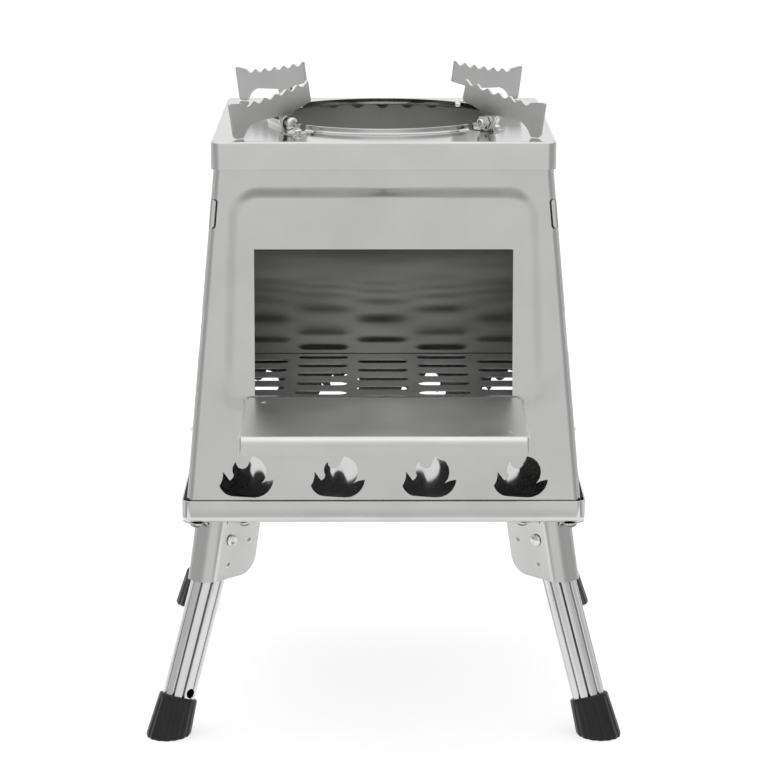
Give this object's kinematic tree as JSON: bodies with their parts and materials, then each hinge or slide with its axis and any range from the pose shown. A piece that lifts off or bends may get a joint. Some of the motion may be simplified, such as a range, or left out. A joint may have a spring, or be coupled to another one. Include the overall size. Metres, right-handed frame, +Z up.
{
  "type": "tent stove",
  "caption": "Small folding wood stove: tapered sheet-steel firebox with a drop-down door on a tray with folding legs, under a lid with hinged serrated pot supports.",
  "frame": {"origin": "on the floor, under the centre of the bounding box with the door open", "axes": "+Z up; the door and its opening face -Y; +X is to the right of someone who faces the door"},
  "size_m": [0.25, 0.3094, 0.336],
  "materials": {
    "sheet_steel": "satin, lightly brushed sheet",
    "polished_steel": "bright polished sheet",
    "fastener_steel": "bright rivets, bolts and nuts",
    "fluted_aluminium": "drawn tube with narrow flutes",
    "foot_rubber": "matte ribbed rubber"
  },
  "bodies": {
    "stove_body": {"base_tray": "polished_steel", "front_panel": "sheet_steel", "back_panel": "sheet_steel", "left_panel": "sheet_steel", "right_panel": "sheet_steel", "grate": "sheet_steel", "left_door_pin": "fastener_steel", "right_door_pin": "fastener_steel", "front_left_leg_bracket": "sheet_steel", "front_left_leg_pin": "fastener_steel", "front_left_mount_bolt_1": "fastener_steel", "front_left_mount_bolt_2": "fastener_steel", "front_left_mount_bolt_3": "fastener_steel", "front_right_leg_bracket": "sheet_steel", "front_right_leg_pin": "fastener_steel", "front_right_mount_bolt_1": "fastener_steel", "front_right_mount_bolt_2": "fastener_steel", "front_right_mount_bolt_3": "fastener_steel", "back_right_leg_bracket": "sheet_steel", "back_right_leg_pin": "fastener_steel", "back_right_mount_bolt_1": "fastener_steel", "back_right_mount_bolt_2": "fastener_steel", "back_right_mount_bolt_3": "fastener_steel", "back_left_leg_bracket": "sheet_steel", "back_left_leg_pin": "fastener_steel", "back_left_mount_bolt_1": "fastener_steel", "back_left_mount_bolt_2": "fastener_steel", "back_left_mount_bolt_3": "fastener_steel"},
    "lid": {"lid": "polished_steel", "front_left_support_bracket": "sheet_steel", "front_left_support_bolt": "fastener_steel", "front_left_support_nut": "fastener_steel", "front_left_lid_rivet": "fastener_steel", "front_right_support_bracket": "sheet_steel", "front_right_support_bolt": "fastener_steel", "front_right_support_nut": "fastener_steel", "front_right_lid_rivet": "fastener_steel", "back_right_support_bracket": "sheet_steel", "back_right_support_bolt": "fastener_steel", "back_right_support_nut": "fastener_steel", "back_right_lid_rivet": "fastener_steel", "back_left_support_bracket": "sheet_steel", "back_left_support_bolt": "fastener_steel", "back_left_support_nut": "fastener_steel", "back_left_lid_rivet": "fastener_steel"},
    "door": {"door": "sheet_steel"},
    "front_left_pot_support": {"front_left_pot_support": "polished_steel"},
    "front_left_leg": {"front_left_leg_tube": "fluted_aluminium", "front_left_foot_cap": "foot_rubber"},
    "front_right_pot_support": {"front_right_pot_support": "polished_steel"},
    "front_right_leg": {"front_right_leg_tube": "fluted_aluminium", "front_right_foot_cap": "foot_rubber"},
    "back_right_pot_support": {"back_right_pot_support": "polished_steel"},
    "back_right_leg": {"back_right_leg_tube": "fluted_aluminium", "back_right_foot_cap": "foot_rubber"},
    "back_left_pot_support": {"back_left_pot_support": "polished_steel"},
    "back_left_leg": {"back_left_leg_tube": "fluted_aluminium", "back_left_foot_cap": "foot_rubber"}
  },
  "joints": [
    {"name": "door_hinge", "type": "hinge", "parent": "stove_body", "child": "door", "pos_m": [0, -0.07415, 0.176], "axis": [-1, 0, 0], "range_deg": [0, 95.09]},
    {"name": "lid_lift", "type": "slide", "parent": "stove_body", "child": "lid", "axis": [0, 0, 1], "range_m": [0, 0.05]},
    {"name": "front_left_support_fold", "type": "hinge", "parent": "lid", "child": "front_left_pot_support", "pos_m": [-0.04989, -0.0266, 0.3148], "axis": [-0.7071, 0.7071, 0], "range_deg": [0, 180]},
    {"name": "front_left_leg_fold", "type": "hinge", "parent": "stove_body", "child": "front_left_leg", "pos_m": [-0.08677, -0.05952, 0.1004], "axis": [0.7071, -0.7071, 0], "range_deg": [0, 110]},
    {"name": "front_right_support_fold", "type": "hinge", "parent": "lid", "child": "front_right_pot_support", "pos_m": [0.05385, -0.02264, 0.3148], "axis": [-0.7071, -0.7071, 0], "range_deg": [0, 180]},
    {"name": "front_right_leg_fold", "type": "hinge", "parent": "stove_body", "child": "front_right_leg", "pos_m": [0.08677, -0.05952, 0.1004], "axis": [0.7071, 0.7071, 0], "range_deg": [0, 110]},
    {"name": "back_right_support_fold", "type": "hinge", "parent": "lid", "child": "back_right_pot_support", "pos_m": [0.04989, 0.0811, 0.3148], "axis": [0.7071, -0.7071, 0], "range_deg": [0, 180]},
    {"name": "back_right_leg_fold", "type": "hinge", "parent": "stove_body", "child": "back_right_leg", "pos_m": [0.08677, 0.11402, 0.1004], "axis": [-0.7071, 0.7071, 0], "range_deg": [0, 110]},
    {"name": "back_left_support_fold", "type": "hinge", "parent": "lid", "child": "back_left_pot_support", "pos_m": [-0.05385, 0.07714, 0.3148], "axis": [0.7071, 0.7071, 0], "range_deg": [0, 180]},
    {"name": "back_left_leg_fold", "type": "hinge", "parent": "stove_body", "child": "back_left_leg", "pos_m": [-0.08677, 0.11402, 0.1004], "axis": [-0.7071, -0.7071, 0], "range_deg": [0, 110]}
  ]
}
